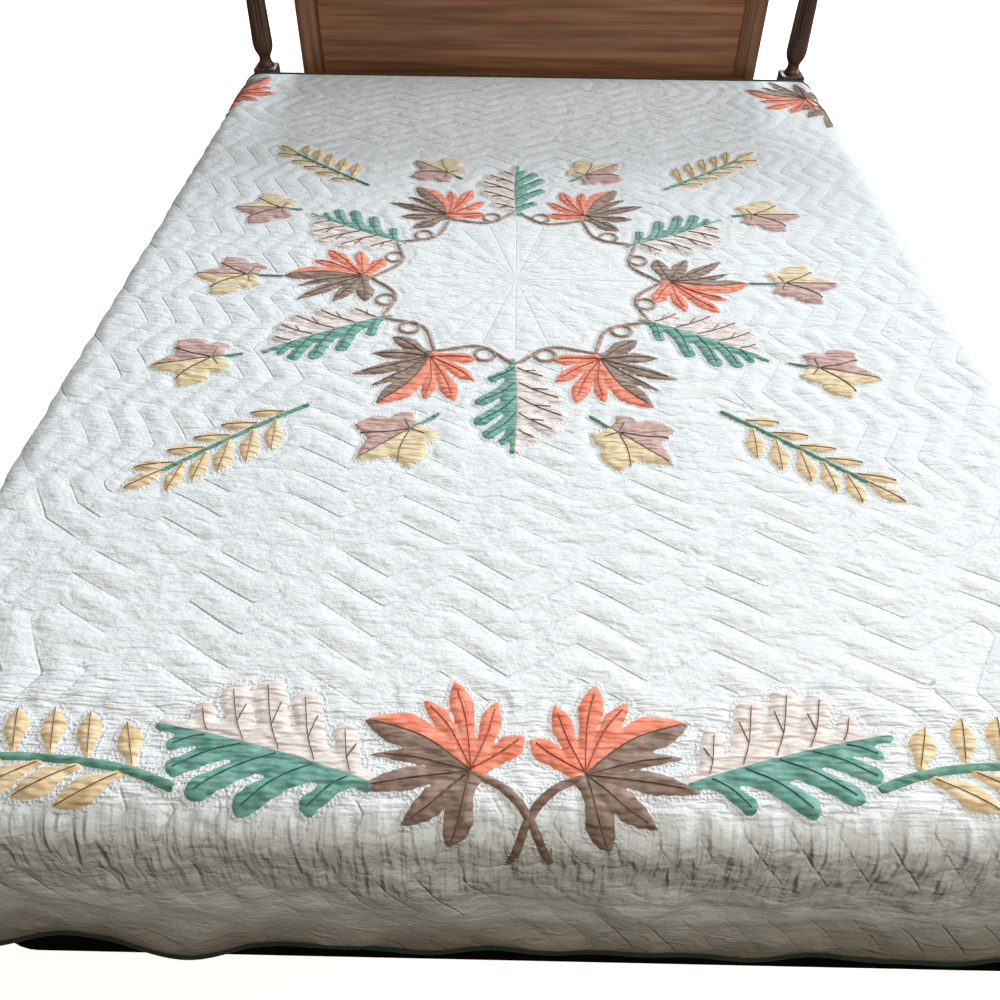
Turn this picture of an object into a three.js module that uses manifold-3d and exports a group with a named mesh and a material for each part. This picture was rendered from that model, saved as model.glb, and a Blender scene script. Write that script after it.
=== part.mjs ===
// A quilt spread over a double bed: the quilt and its edge binding, the mattress and
// dark base under them, a plain side-rail frame, and a panelled headboard between two turned posts.
// Millimetres, +Z up. The foot of the bed faces -Y and the headboard stands at +Y.
import * as THREE from "three";
import { mergeVertices } from "three/addons/utils/BufferGeometryUtils.js";
import Module from "manifold-3d";

// Driving sizes of the bed.
const MATTRESS = { width: 1420, length: 1940, height: 250, edge: 54, corner: 128 };
const BASE = { height: 150, inset: 16, corner: 74, edge: 8 };
const UNDER_BED = 160;
const RAIL = { thick: 30, height: 60, inset: 45, foot: 60 };
const LEG = { radius: 24, taper: 18, inset: 35 };
const SEAT_GAP = 0.3;
const TURN_SIDES = 20;

// Driving sizes of the headboard.
const POST = { spread: 667, behind: 60, block: 56, foot: 42, ledge: 8 };
const BOARD = { half: 570, top: 960, railLow: 380, railLowTop: 450, railHigh: 900, thick: 32, panel: 14 };
const STILE = { flat: 26, moulding: 26, step: 6 };

// Driving sizes of the quilt. The flat cloth is measured from the middle of the leaf wreath.
const QUILT = { halfWidth: 1029, toFoot: 1214, toHead: 975, wreath: 975 };
const LAY = { seat: 0.4, clear: 3, roll: 45, corner: 93 };
const THICK = { plain: 7, groove: 5, crest: 10 };
const ROWS = { step: 50, halfPeriod: 100, rise: 45, diamond: 26, medallion: 230 };
const ROLL_STEPS = 4;
const HANG_STEP = 46;
const BINDING = { width: 8, proud: 1, gap: 0.6 };
const BASE_LEAN = 2.5;

// Soft folds of the hanging edge. run is the distance along the hem from the middle of the foot,
// minus to the left; half is the fold's half width there; lean is its outward tilt in degrees.
const CORNER_RUN = 300;
const FOLDS = [
  { run: -2500, half: 190, lean: 4 },
  { run: -2090, half: 150, lean: 7 },
  { run: -1690, half: 170, lean: 5 },
  { run: -1300, half: 140, lean: 8 },
  { run: -1010, half: 120, lean: 4 },
  { run: -780, half: 230, lean: 13 },
  { run: -395, half: 85, lean: 4.5 },
  { run: -120, half: 120, lean: 0.6 },
  { run: 190, half: 150, lean: 0.8 },
  { run: 440, half: 110, lean: 1 },
  { run: 780, half: 230, lean: 13 },
  { run: 1060, half: 130, lean: 6 },
  { run: 1420, half: 160, lean: 7 },
  { run: 1830, half: 170, lean: 4 },
  { run: 2190, half: 150, lean: 8 },
  { run: 2560, half: 180, lean: 5 },
];

// The hem is drawn up a little beside the left foot corner, by this share of its hang.
const TUCK = { run: -520, half: 95, share: 0.1 };

// Heights and outlines worked out from the sizes above.
const BASE_TOP = UNDER_BED + BASE.height;
const BED_TOP = BASE_TOP + MATTRESS.height;
const CLOTH_TOP = BED_TOP + LAY.seat;
const CORNER_X = MATTRESS.width / 2 + LAY.clear - LAY.corner;
const CORNER_Y = LAY.corner - LAY.clear;
const ROLL_START = LAY.corner - LAY.roll;
const POST_Y = MATTRESS.length + POST.behind;

const wasm = await Module();
wasm.setup();

const finish = (colour, roughness) =>
  new THREE.MeshStandardMaterial({ color: colour, roughness, metalness: 0 });
const MATERIALS = {
  quilt: finish(0xeef2f1, 0.95),
  binding: finish(0x2e5a4b, 0.9),
  ticking: finish(0xe6e3da, 0.95),
  baseCloth: finish(0x141414, 0.95),
  frame: finish(0x2a2a2c, 0.5),
  wood: finish(0x6f4a33, 0.45),
};

function named(name, geometry, material) {
  const mesh = new THREE.Mesh(geometry, material);
  mesh.name = name;
  return mesh;
}

// A box given by its lowest and highest corners.
function boxBetween(low, high) {
  const size = high.map((value, axis) => value - low[axis]);
  const middle = high.map((value, axis) => (value + low[axis]) / 2);
  return new THREE.BoxGeometry(...size).translate(...middle);
}

// A slab with rounded upright corners and softened top and bottom edges.
function softSlab(halfWidth, start, end, bottom, height, corner, edge) {
  const outline = new THREE.Shape();
  outline.moveTo(-halfWidth + corner, start);
  outline.lineTo(halfWidth - corner, start);
  outline.absarc(halfWidth - corner, start + corner, corner, -Math.PI / 2, 0);
  outline.lineTo(halfWidth, end - corner);
  outline.absarc(halfWidth - corner, end - corner, corner, 0, Math.PI / 2);
  outline.lineTo(-halfWidth + corner, end);
  outline.absarc(-halfWidth + corner, end - corner, corner, Math.PI / 2, Math.PI);
  outline.lineTo(-halfWidth, start + corner);
  outline.absarc(-halfWidth + corner, start + corner, corner, Math.PI, 1.5 * Math.PI);
  const slab = new THREE.ExtrudeGeometry(outline, {
    depth: height - 2 * edge,
    bevelEnabled: true,
    bevelThickness: edge,
    bevelSize: edge,
    bevelOffset: -edge,
    bevelSegments: 4,
    curveSegments: 5,
  });
  return slab.translate(0, 0, bottom + edge);
}

// Joins two closed geometries into one solid.
function joined(first, second) {
  const solids = [first, second].map((geometry) => {
    const bare = new THREE.BufferGeometry();
    bare.setAttribute("position", geometry.getAttribute("position"));
    bare.setIndex(geometry.getIndex());
    const merged = mergeVertices(bare);
    return new wasm.Manifold(
      new wasm.Mesh({
        numProp: 3,
        vertProperties: merged.getAttribute("position").array,
        triVerts: new Uint32Array(merged.getIndex().array),
      }),
    );
  });
  const mesh = solids[0].add(solids[1]).getMesh();
  const result = new THREE.BufferGeometry();
  result.setAttribute("position", new THREE.BufferAttribute(mesh.vertProperties, 3));
  result.setIndex(new THREE.BufferAttribute(mesh.triVerts, 1));
  return result;
}

// The bed's soft base: mattress and dark foundation.
function bedding() {
  const mattress = softSlab(
    MATTRESS.width / 2, 0, MATTRESS.length, BASE_TOP, MATTRESS.height, MATTRESS.corner, MATTRESS.edge,
  );
  const base = softSlab(
    MATTRESS.width / 2 - BASE.inset, BASE.inset, MATTRESS.length - BASE.inset,
    UNDER_BED, BASE.height - SEAT_GAP, BASE.corner, BASE.edge,
  );
  return [
    named("mattress", mattress, MATERIALS.ticking),
    named("bed_base", base, MATERIALS.baseCloth),
  ];
}

// The frame under the base: a rail on each side, a cross rail and a leg at each foot corner.
function underFrame() {
  const outer = MATTRESS.width / 2 - RAIL.inset;
  const railTop = UNDER_BED - SEAT_GAP;
  const railLow = railTop - RAIL.height;
  const blockFront = POST_Y - POST.block / 2;
  const pieces = [];
  for (const [side, sign] of [["left", -1], ["right", 1]]) {
    const across = [sign * (outer - RAIL.thick), sign * outer].sort((a, b) => a - b);
    const rail = boxBetween(
      [across[0], RAIL.foot, railLow],
      [across[1], blockFront - SEAT_GAP, railTop],
    );
    pieces.push(named(`side_rail_${side}`, rail, MATERIALS.frame));
    const legHeight = railLow - SEAT_GAP;
    const leg = new THREE.CylinderGeometry(LEG.radius, LEG.taper, legHeight, TURN_SIDES);
    leg.rotateX(Math.PI / 2);
    leg.translate(sign * (outer - RAIL.thick / 2), RAIL.foot + LEG.inset, legHeight / 2);
    pieces.push(named(`foot_leg_${side}`, leg, MATERIALS.frame));
  }
  const crossHalf = outer - RAIL.thick - SEAT_GAP;
  const cross = boxBetween(
    [-crossHalf, RAIL.foot + LEG.inset - RAIL.thick / 2, railLow],
    [crossHalf, RAIL.foot + LEG.inset + RAIL.thick / 2, railTop],
  );
  pieces.push(named("cross_rail", cross, MATERIALS.frame));
  return pieces;
}

// Half profile of the post's turned part: radius, and height above the ledge of its square block.
// The drum near its top takes the headboard's top rail. tip is the rise of its rounded top end.
const DRUM = 25;
const FOOT_TURN = { low: 18, high: 25, tip: 6 };
const FINIAL_TIP = 4;
const TURNING = [
  { radius: 20, height: -12 },
  { radius: 20, height: 4 },
  { radius: 14, height: 14 },
  { radius: 14, height: 24 },
  { radius: 20, height: 34 },
  { radius: 24, height: 46 },
  { radius: 24.5, height: 60 },
  { radius: 23, height: 140 },
  { radius: 19, height: 300 },
  { radius: 18, height: 312 },
  { radius: DRUM, height: 322 },
  { radius: DRUM, height: 402 },
  { radius: 16, height: 412 },
  { radius: 13, height: 426 },
  { radius: 21, height: 444 },
  { radius: 25, height: 468 },
  { radius: 21, height: 492 },
  { radius: 9, height: 512 },
];

function post(name, x) {
  const ledge = BED_TOP + POST.ledge;
  const half = POST.block / 2;
  const profile = [new THREE.Vector2(0, TURNING[0].height)];
  for (const { radius, height } of TURNING) profile.push(new THREE.Vector2(radius, height));
  profile.push(new THREE.Vector2(0, TURNING.at(-1).height + FINIAL_TIP));
  const turned = new THREE.LatheGeometry(profile, TURN_SIDES).rotateX(Math.PI / 2).translate(0, 0, ledge);
  const footProfile = [
    new THREE.Vector2(0, 0),
    new THREE.Vector2(FOOT_TURN.low, 0),
    new THREE.Vector2(FOOT_TURN.high, POST.foot),
    new THREE.Vector2(0, POST.foot + FOOT_TURN.tip),
  ];
  const foot = new THREE.LatheGeometry(footProfile, TURN_SIDES).rotateX(Math.PI / 2);
  const block = boxBetween([-half, -half, POST.foot], [half, half, ledge]);
  const whole = joined(joined(block, turned), foot);
  return named(name, whole.translate(x, POST_Y, 0), MATERIALS.wood);
}

// One upright of the board's frame: a flat band with a lower moulding on its inner side.
function stile(name, sign) {
  const back = BOARD.thick / 2;
  const inner = BOARD.half - STILE.flat - STILE.moulding;
  const section = new THREE.Shape();
  section.moveTo(inner, back);
  section.lineTo(inner, -back + 3 * STILE.step);
  section.lineTo(inner + STILE.moulding / 2, -back + STILE.step);
  section.lineTo(BOARD.half - STILE.flat, -back + STILE.step);
  section.lineTo(BOARD.half - STILE.flat, -back);
  section.lineTo(BOARD.half, -back);
  section.lineTo(BOARD.half, back);
  section.closePath();
  const length = BOARD.railHigh - BOARD.railLowTop - 2 * SEAT_GAP;
  const upright = new THREE.ExtrudeGeometry(section, { depth: length, bevelEnabled: false });
  const mesh = named(name, upright, MATERIALS.wood);
  mesh.scale.x = sign;
  mesh.position.set(0, POST_Y, BOARD.railLowTop + SEAT_GAP);
  return mesh;
}

function headboard() {
  const between = POST.spread - POST.block / 2 - SEAT_GAP;
  const betweenDrums = POST.spread - DRUM - SEAT_GAP;
  const depth = BOARD.thick / 2;
  const lowRail = boxBetween(
    [-between, POST_Y - depth, BOARD.railLow], [between, POST_Y + depth, BOARD.railLowTop],
  );
  const highRail = boxBetween(
    [-betweenDrums, POST_Y - depth, BOARD.railHigh], [betweenDrums, POST_Y + depth, BOARD.top],
  );
  const panelHalf = BOARD.half - STILE.flat - STILE.moulding - SEAT_GAP;
  const panel = boxBetween(
    [-panelHalf, POST_Y - BOARD.panel / 2, BOARD.railLowTop + SEAT_GAP],
    [panelHalf, POST_Y + BOARD.panel / 2, BOARD.railHigh - SEAT_GAP],
  );
  return [
    post("post_left", -POST.spread),
    post("post_right", POST.spread),
    named("headboard_low_rail", lowRail, MATERIALS.wood),
    named("headboard_top_rail", highRail, MATERIALS.wood),
    named("headboard_panel", panel, MATERIALS.wood),
    stile("stile_left", -1),
    stile("stile_right", 1),
  ];
}

// A smooth bump, 1 in its middle and 0 from one half width away.
function bump(distance, half) {
  const share = Math.min(Math.abs(distance) / half, 1);
  return (1 + Math.cos(Math.PI * share)) / 2;
}

// The hanging cloth's outward tilt in radians at a place along the hem.
function leanAt(run) {
  const degrees = FOLDS.reduce((sum, fold) => sum + fold.lean * bump(run - fold.run, fold.half), BASE_LEAN);
  return THREE.MathUtils.degToRad(degrees);
}

// Where a point of the flat cloth lies once the cloth is spread over the mattress, on its under side.
// u is measured across from the middle, v towards the head from the mattress's foot end.
function drape(u, v) {
  const side = Math.sign(u) || 1;
  const pastX = Math.max(Math.abs(u) - CORNER_X, 0);
  const pastY = Math.max(CORNER_Y - v, 0);
  const past = Math.hypot(pastX, pastY);
  const beyond = past - ROLL_START;
  if (beyond <= 0) return new THREE.Vector3(u, v, CLOTH_TOP);
  const turn = Math.atan2(pastY, pastX) / (Math.PI / 2);
  const inFoot = pastX === 0 ? Math.abs(u) : CORNER_X;
  const run = side * (inFoot + (pastX > 0 ? CORNER_RUN * (1 - turn) : 0) + Math.max(v - CORNER_Y, 0));
  const lean = leanAt(run);
  const rolled = Math.min(beyond / LAY.roll, Math.PI / 2 - lean);
  const hang = (beyond - rolled * LAY.roll) * (1 - TUCK.share * bump(run - TUCK.run, TUCK.half));
  const out = LAY.roll * Math.sin(rolled) + hang * Math.sin(lean);
  const down = LAY.roll * (1 - Math.cos(rolled)) + hang * Math.cos(lean);
  const reach = (ROLL_START + out) / past;
  return new THREE.Vector3(
    side * (Math.min(Math.abs(u), CORNER_X) + pastX * reach),
    Math.max(v, CORNER_Y) - pastY * reach,
    CLOTH_TOP - down,
  );
}

// The cloth's outward direction at a flat point, from two short steps across it.
function outward(u, v) {
  const step = 2;
  const across = drape(u + step, v).sub(drape(u - step, v));
  const along = drape(u, v + step).sub(drape(u, v - step));
  return across.cross(along).normalize();
}

// The point at a height above the cloth's under side.
function onCloth(u, v, height) {
  return drape(u, v).addScaledVector(outward(u, v), height);
}

// Distances from the start of the roll to the hem: even steps round the roll, then down the hang.
function edgeSteps(reach) {
  const quarter = (LAY.roll * Math.PI) / 2;
  const steps = [];
  for (let k = 0; k <= ROLL_STEPS; k += 1) steps.push((quarter * k) / ROLL_STEPS);
  const hang = reach - quarter;
  const count = Math.round(hang / HANG_STEP);
  for (let k = 1; k <= count; k += 1) steps.push(quarter + (hang * k) / count);
  return steps;
}

// The flat cloth's mesh lines. Ruled lines lie on the quilting rows, numbered from the wreath,
// and edge lines follow the roll and the hang.
function meshLines() {
  const startX = CORNER_X + ROLL_START;
  const startY = CORNER_Y - ROLL_START;
  const columns = [];
  for (let i = -Math.floor(startX / ROWS.step); i <= Math.floor(startX / ROWS.step); i += 1)
    columns.push({ at: i * ROWS.step, row: i });
  for (const step of edgeSteps(QUILT.halfWidth - startX)) {
    columns.push({ at: startX + step, row: null });
    columns.unshift({ at: -startX - step, row: null });
  }
  const rows = [];
  const lastFoot = Math.floor((QUILT.wreath - startY) / ROWS.step);
  const lastHead = Math.floor(QUILT.toHead / ROWS.step);
  for (let j = -lastFoot; j <= lastHead; j += 1) rows.push({ at: QUILT.wreath + j * ROWS.step, row: j });
  rows.push({ at: QUILT.wreath + QUILT.toHead, row: null });
  for (const step of edgeSteps(QUILT.toFoot - QUILT.wreath + startY))
    rows.unshift({ at: startY - step, row: null });
  return { columns, rows };
}

// A zigzag that runs from -1 to 1 and back.
function zigzag(along) {
  const share = THREE.MathUtils.euclideanModulo(along / (2 * ROWS.halfPeriod), 1);
  return 1 - 4 * Math.abs(share - 0.5);
}

// A mesh point of the quilt's face. The quilting lines are zigzags along the bed. In a diamond at each end
// of the wreath they run across it instead, and the two meet on the diagonals. Every second line is
// raised here, as a groove between two crests.
function quiltPoint(column, row) {
  const flat = { u: column.at, v: row.at, height: THICK.plain };
  if (column.row === null || row.row === null) return flat;
  const out = Math.abs(column.row);
  const away = Math.abs(row.row);
  const inDiamond = Math.min(away - out, ROWS.diamond - away - out);
  const line = inDiamond > 0 ? away : out;
  const toWreath = Math.hypot(column.at, row.at - QUILT.wreath);
  if (toWreath < ROWS.medallion) return flat;
  const room = Math.min((toWreath - ROWS.medallion) / ROWS.step, Math.abs(inDiamond) / 2, 1);
  const lastColumn = CORNER_X + ROLL_START - Math.abs(column.at);
  const lastRow = Math.min(row.at - CORNER_Y + ROLL_START, QUILT.wreath + QUILT.toHead - row.at);
  const clear = Math.min(room, Math.max(Math.min(lastColumn, lastRow) / ROWS.step - 1, 0));
  const shift = (ROWS.rise / 2) * clear;
  if (inDiamond < 0) flat.u += shift * zigzag(row.at - QUILT.wreath);
  if (inDiamond > 0) flat.v += shift * zigzag(column.at);
  flat.height = line % 2 ? THICK.crest : THICK.groove;
  return flat;
}

// A closed sheet from a grid of upper points, each with the lower point under it.
function closedSheet(upper, lower) {
  const across = upper[0].length;
  const position = [...upper.flat(), ...lower.flat()].flatMap((p) => [p.x, p.y, p.z]);
  const under = upper.length * across;
  const index = [];
  const quad = (a, b, c, d) => index.push(a, b, c, a, c, d);
  for (let j = 0; j + 1 < upper.length; j += 1)
    for (let i = 0; i + 1 < across; i += 1) {
      const a = j * across + i;
      quad(a, a + 1, a + 1 + across, a + across);
      quad(under + a, under + a + across, under + a + 1 + across, under + a + 1);
    }
  const rim = rimOf(upper.length, across);
  rim.forEach((a, k) => {
    const b = rim[(k + 1) % rim.length];
    quad(a, under + a, under + b, b);
  });
  return indexed(position, index);
}

function indexed(position, index) {
  const geometry = new THREE.BufferGeometry();
  geometry.setAttribute("position", new THREE.Float32BufferAttribute(position, 3));
  geometry.setIndex(index);
  geometry.computeVertexNormals();
  return geometry;
}

// The numbers of a grid's outer points, in order round its edge, counter-clockwise from above.
function rimOf(rows, across) {
  const rim = [];
  for (let i = 0; i < across - 1; i += 1) rim.push(i);
  for (let j = 0; j < rows - 1; j += 1) rim.push(j * across + across - 1);
  for (let i = across - 1; i > 0; i -= 1) rim.push((rows - 1) * across + i);
  for (let j = rows - 1; j > 0; j -= 1) rim.push(j * across);
  return rim;
}

// The binding: a narrow strip along the whole hem, a little thicker than the quilt's edge.
function bindingStrip(lines) {
  const flat = lines.rows.flatMap((row) => lines.columns.map((column) => ({ u: column.at, v: row.at })));
  const hems = [-QUILT.halfWidth, QUILT.halfWidth, QUILT.wreath - QUILT.toFoot, QUILT.wreath + QUILT.toHead];
  const [left, right, foot, head] = hems;
  const past = (value, low, high, by) => {
    if (value <= low) return low - by;
    return value >= high ? high + by : value;
  };
  const sections = rimOf(lines.rows.length, lines.columns.length).map((place) => {
    const { u, v } = flat[place];
    const at = (by, height) => onCloth(past(u, left, right, by), past(v, foot, head, by), height);
    const upperFace = THICK.plain + BINDING.proud;
    return [
      at(BINDING.gap, -BINDING.proud),
      at(BINDING.width, -BINDING.proud),
      at(BINDING.width, upperFace),
      at(BINDING.gap, upperFace),
    ];
  });
  const position = sections.flat().flatMap((p) => [p.x, p.y, p.z]);
  const index = [];
  sections.forEach((_, k) => {
    const here = 4 * k;
    const next = 4 * ((k + 1) % sections.length);
    for (let c = 0; c < 4; c += 1) {
      const d = (c + 1) % 4;
      index.push(here + c, next + c, next + d, here + c, next + d, here + d);
    }
  });
  return indexed(position, index);
}

function quilt() {
  const lines = meshLines();
  const points = lines.rows.map((row) => lines.columns.map((column) => quiltPoint(column, row)));
  const upper = points.map((row) => row.map(({ u, v, height }) => onCloth(u, v, height)));
  const lower = points.map((row) => row.map(({ u, v }) => drape(u, v)));
  return [
    named("quilt", closedSheet(upper, lower), MATERIALS.quilt),
    named("binding", bindingStrip(lines), MATERIALS.binding),
  ];
}

// The part's origin is on the floor under the middle of everything.
const bed = new THREE.Group();
bed.add(...quilt(), ...bedding(), ...underFrame(), ...headboard());
bed.updateMatrixWorld(true);
const middle = new THREE.Box3().setFromObject(bed).getCenter(new THREE.Vector3());
bed.position.set(-middle.x, -middle.y, 0);

const part = new THREE.Group();
part.add(bed);
export default part;
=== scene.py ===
# %% [markdown]
# # A quilt on a bed
# A washed white cotton quilt with leaves sewn on it lies over a double bed with a panelled headboard.
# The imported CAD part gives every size. This notebook dresses it: the quilt gets its sewing, its leaves
# and its binding, and the bed gets its cloth, paint and wood.

import math

import bmesh
import bpy
import numpy as np
from mathutils import Matrix, Vector, noise


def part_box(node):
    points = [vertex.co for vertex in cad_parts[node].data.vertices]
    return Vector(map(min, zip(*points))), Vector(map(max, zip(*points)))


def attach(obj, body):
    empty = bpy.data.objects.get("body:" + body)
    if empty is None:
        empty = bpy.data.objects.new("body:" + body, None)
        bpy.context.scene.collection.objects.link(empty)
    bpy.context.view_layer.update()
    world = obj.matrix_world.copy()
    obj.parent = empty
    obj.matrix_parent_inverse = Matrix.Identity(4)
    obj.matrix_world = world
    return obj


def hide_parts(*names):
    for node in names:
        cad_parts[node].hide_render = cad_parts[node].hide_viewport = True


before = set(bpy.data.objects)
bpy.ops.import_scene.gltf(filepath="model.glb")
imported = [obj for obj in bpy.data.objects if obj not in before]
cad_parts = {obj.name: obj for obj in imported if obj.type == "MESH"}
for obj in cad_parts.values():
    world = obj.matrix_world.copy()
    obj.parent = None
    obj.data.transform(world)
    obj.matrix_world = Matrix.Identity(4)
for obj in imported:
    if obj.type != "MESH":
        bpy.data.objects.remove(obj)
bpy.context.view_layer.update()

# %% [markdown]
# ## Camera
# The picture is taken standing at the foot of the bed and looking down at it. The camera's place and
# turn come from fitting the photograph's straight edges, so the leaves land where they were seen.

# %% Camera
CAMERA_AT = (-0.0366, -1.3649, 1.3687)
PAN, DOWN, TWIST = 0.552, 44.475, 0.666
camera = bpy.data.cameras.new("camera")
camera.lens = 32.0
camera.sensor_width = 36.0
camera.clip_start = 0.02
viewer = bpy.data.objects.new("camera", camera)
pan = Matrix.Rotation(math.radians(PAN), 4, "Z")
tilt = Matrix.Rotation(math.radians(90 - DOWN), 4, "X")
roll = Matrix.Rotation(math.radians(TWIST), 4, "Z")
viewer.matrix_world = Matrix.Translation(CAMERA_AT) @ pan @ tilt @ roll
bpy.context.scene.collection.objects.link(viewer)
bpy.context.scene.camera = viewer
print("camera at", tuple(viewer.location))

# %% [markdown]
# ## How the cloth lies
# A spread quilt is flat on the mattress, rolls over its edge and hangs, leaning out in soft folds.
# Every sewn thing is drawn on the flat cloth and then laid with the same rule as the CAD solid:
# u runs across the bed from its middle, v from the mattress's foot end towards the head, both in metres.

# %% The lay of the cloth
MATTRESS_LOW, MATTRESS_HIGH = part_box("mattress")
CLOTH_TOP = MATTRESS_HIGH.z + 0.0004
ROLL = 0.045
CORNER = 0.093
CLEAR = 0.003
CORNER_U = MATTRESS_HIGH.x + CLEAR - CORNER
CORNER_V = CORNER - CLEAR
ROLL_START = CORNER - ROLL
CORNER_RUN = 0.300
BASE_LEAN = 2.5
HEM_LOW = np.array([-1.029, -0.239])
HEM_HIGH = np.array([1.029, 1.950])
FOLDS = [
    # along the hem from the middle of the foot, half width, outward lean in degrees
    (-2.500, 0.190, 4), (-2.090, 0.150, 7), (-1.690, 0.170, 5), (-1.300, 0.140, 8),
    (-1.010, 0.120, 4), (-0.780, 0.230, 13), (-0.395, 0.085, 4.5), (-0.120, 0.120, 0.6),
    (0.190, 0.150, 0.8), (0.440, 0.110, 1), (0.780, 0.230, 13), (1.060, 0.130, 6),
    (1.420, 0.160, 7), (1.830, 0.170, 4), (2.190, 0.150, 8), (2.560, 0.180, 5),
]
TUCK = (-0.520, 0.095, 0.10)  # the lifted hem: where, half width, share of the hang


def swell(run, at, half):
    """A soft bump, 1 in its middle and 0 from one half width away."""
    return (1 + np.cos(np.pi * np.minimum(np.abs(run - at) / half, 1))) / 2


def lean_at(run):
    """The hanging cloth's outward lean in radians, along the hem."""
    degrees = BASE_LEAN + 0.4 * np.sin(run / 0.031) + 0.4 * np.sin(run / 0.019 + 1.0)
    for at, half, lean in FOLDS:
        degrees = degrees + lean * swell(run, at, half)
    return np.radians(degrees)


def drape(u, v):
    """Where points of the flat cloth lie, on the cloth's under side."""
    side = np.where(u < 0, -1.0, 1.0)
    past_u = np.maximum(np.abs(u) - CORNER_U, 0)
    past_v = np.maximum(CORNER_V - v, 0)
    past = np.hypot(past_u, past_v)
    turn = np.arctan2(past_v, past_u) / (np.pi / 2)
    round_corner = np.where(past_u > 0, CORNER_RUN * (1 - turn), 0)
    run = np.minimum(np.abs(u), CORNER_U) + round_corner + np.maximum(v - CORNER_V, 0)
    lean = lean_at(side * run)
    beyond = np.maximum(past - ROLL_START, 0)
    rolled = np.minimum(beyond / ROLL, np.pi / 2 - lean)
    hang = (beyond - rolled * ROLL) * (1 - TUCK[2] * swell(side * run, *TUCK[:2]))
    out = ROLL * np.sin(rolled) + hang * np.sin(lean)
    down = ROLL * (1 - np.cos(rolled)) + hang * np.cos(lean)
    reach = np.where(past > ROLL_START, (ROLL_START + out) / np.maximum(past, 1e-9), 1.0)
    x = side * (np.minimum(np.abs(u), CORNER_U) + past_u * reach)
    y = MATTRESS_LOW.y + np.maximum(v, CORNER_V) - past_v * reach
    return np.stack([x, y, CLOTH_TOP - down], axis=-1)


def face(u, v, height):
    """Points at a height above the cloth's under side."""
    step = 0.002
    across = drape(u + step, v) - drape(u - step, v)
    along = drape(u, v + step) - drape(u, v - step)
    outward = np.cross(across, along)
    outward /= np.linalg.norm(outward, axis=-1, keepdims=True)
    return drape(u, v) + outward * height[..., None]


print("cloth top", CLOTH_TOP, "foot hem", drape(np.array([0.0]), HEM_LOW[1:])[0])

# %% [markdown]
# ## Leaf shapes
# The leaves are ordinary garden leaves: maple, oak, tulip tree and a plain pointed leaflet. A sewer
# cuts each half freehand from its own cloth, so the two halves of a leaf differ: the orange and pale
# halves spread wider than the brown and green ones. A half is drawn by a short rule, a bunch of
# tapering fingers that melt into each other. Lengths are shares of the leaf's length.

# %% Leaf rules
MELT = {"maple_open": 0.014, "maple_close": 0.014, "oak": 0.012, "oak_open": 0.012, "tulip": 0.05,
        "leaflet": 0.01, "slim": 0.01}
WOBBLE = 0.004  # of hand cutting


def finger(root, degrees, length, half, full, neck=0.4):
    """A finger from a place on the midrib: its angle, length, half width, widest share and neck."""
    turned = math.radians(degrees)
    return (root, 0), (root + length * math.cos(turned), length * math.sin(turned)), half, full, neck


def oak_half(sweep, closing, longest, half):
    """Five blunt lobes in even steps along a broad midrib, longest in the middle."""
    made = []
    for k in range(5):
        size = math.sin(math.pi * (k + 1.2) / 6.0)
        width = half * (0.4 + 0.6 * size)
        made.append(finger(0.07 + 0.17 * k, sweep - closing * k, longest * size, width, 1.0, 0.9))
    return [*made, finger(0, 0, 1.0, 0.118, 0.28), finger(0.7, 0, 0.27, 0.03, 1.0, 1.0)]


def maple_half(full, lobes):
    """A half of the tip lobe and four side lobes: degrees from the midrib, length, half width and neck."""
    made = [finger(0, degrees, length, half, full, neck) for degrees, length, half, neck in lobes]
    return [*made, finger(0, 0, 1.0, 0.155, 0.66, 0.6)]


FINGERS = {
    "maple_open": maple_half(0.66, [(24, 0.76, 0.080, 0.45), (46, 0.79, 0.110, 0.5), (77, 0.63, 0.098, 0.6),
                                    (112, 0.52, 0.108, 0.5)]),
    "maple_close": maple_half(0.56, [(20, 0.86, 0.064, 0.5), (39, 0.96, 0.096, 0.45), (64, 0.72, 0.092, 0.55),
                                     (98, 0.57, 0.118, 0.4)]),
    "oak": oak_half(53, 5, 0.355, 0.056),
    "oak_open": oak_half(60, 2, 0.330, 0.078),
    "tulip": [
        finger(0, 0, 1.0, 0.25, 0.50), finger(0, 48, 0.84, 0.26, 0.55), finger(0, 98, 0.42, 0.22, 0.7),
        finger(0, 20, 0.50, 0.30, 0.7),
    ],
    "leaflet": [finger(0, 0, 1.0, 0.26, 0.42)],
    "slim": [finger(0, 0, 1.0, 0.225, 0.45)],
}


def leaf_shape(kind, along, out):
    """Distance to a leaf's outline in leaf lengths, minus inside."""
    out = np.abs(out)
    total = 0
    for root, tip, half, full, neck in FINGERS[kind]:
        run_x, run_y = tip[0] - root[0], tip[1] - root[1]
        from_x, from_y = along - root[0], out - root[1]
        share = np.clip((from_x * run_x + from_y * run_y) / (run_x**2 + run_y**2), 0, 1)
        point = np.maximum(share - full, 0) / max(1 - full, 1e-6)
        swelling = np.minimum(share / full, 1)
        taper = np.where(share > full, 1 - point**2, neck + (1 - neck) * swelling**2)
        distance = np.hypot(from_x - share * run_x, from_y - share * run_y) - half * taper
        total = total + np.exp(-np.clip(distance, -0.4, 0.4) / MELT[kind])
    return WOBBLE * np.sin(50 * along) * np.sin(50 * out) - MELT[kind] * np.log(total)


print("leaf kinds", sorted(FINGERS))

# %% [markdown]
# ## Where the leaves go
# The layout is the old wreath-and-border kind: oak and maple leaves stand round a curling vine, with
# tulip leaves and sprigs outside it, and a pair of maples meets at the middle of the foot. Places are
# measured from the wreath's middle, in metres, and each half of a leaf is cut from its own cloth.

# %% The wreath
WREATH = np.array([-0.027, 0.983])
OAK_RING, MAPLE_RING = (0.242, 0.454), (0.261, 0.403)  # radii of the leaves' feet and tips
TULIP_LENGTH = 0.098
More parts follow.
